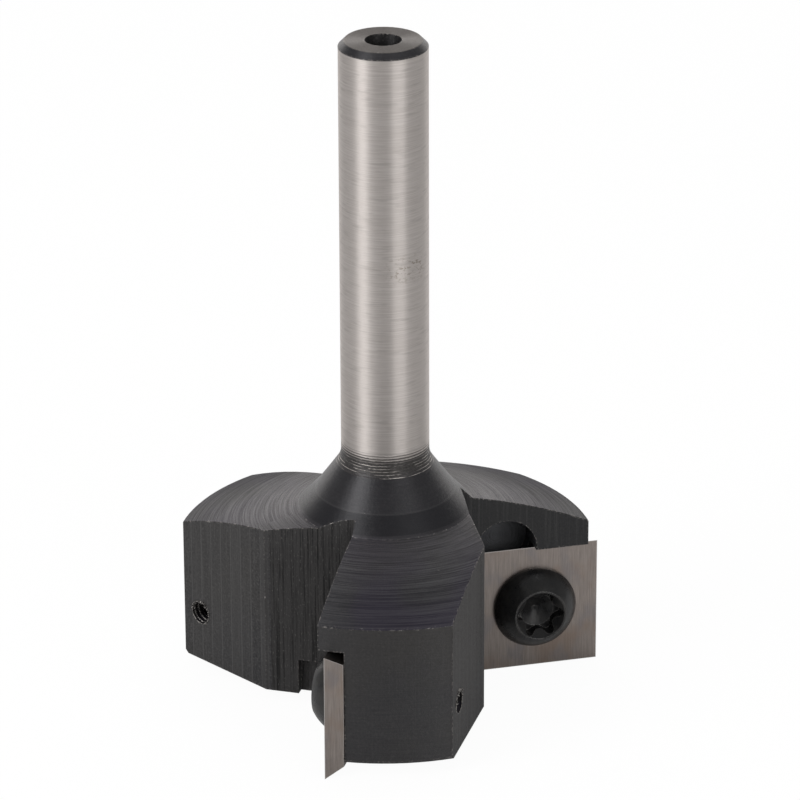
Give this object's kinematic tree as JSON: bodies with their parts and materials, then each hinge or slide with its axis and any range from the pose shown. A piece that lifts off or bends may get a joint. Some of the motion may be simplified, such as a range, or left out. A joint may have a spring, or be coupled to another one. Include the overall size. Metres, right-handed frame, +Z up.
{
  "type": "surfacing router bit",
  "caption": "Surfacing router bit: a round shank that flares into three wings, each carrying a square carbide insert held by a six-lobe button head screw.",
  "frame": {"origin": "on the shank's axis, in the plane of the inserts' lower cutting edges", "axes": "+Z up along the shank's axis to its end, +X out along the first wing, whose rake face looks along -Y"},
  "size_m": [0.0373, 0.0365, 0.0627],
  "materials": {
    "body_steel": "black oxide on the head, flare and shank end, bright ground shank",
    "carbide": "fine ground tungsten carbide, warm grey",
    "screw_steel": "glossy black oxide"
  },
  "bodies": {
    "root": {"cutter_body": "body_steel", "insert_1": "carbide", "insert_2": "carbide", "insert_3": "carbide", "screw_1": "screw_steel", "screw_2": "screw_steel", "screw_3": "screw_steel"}
  },
  "joints": []
}
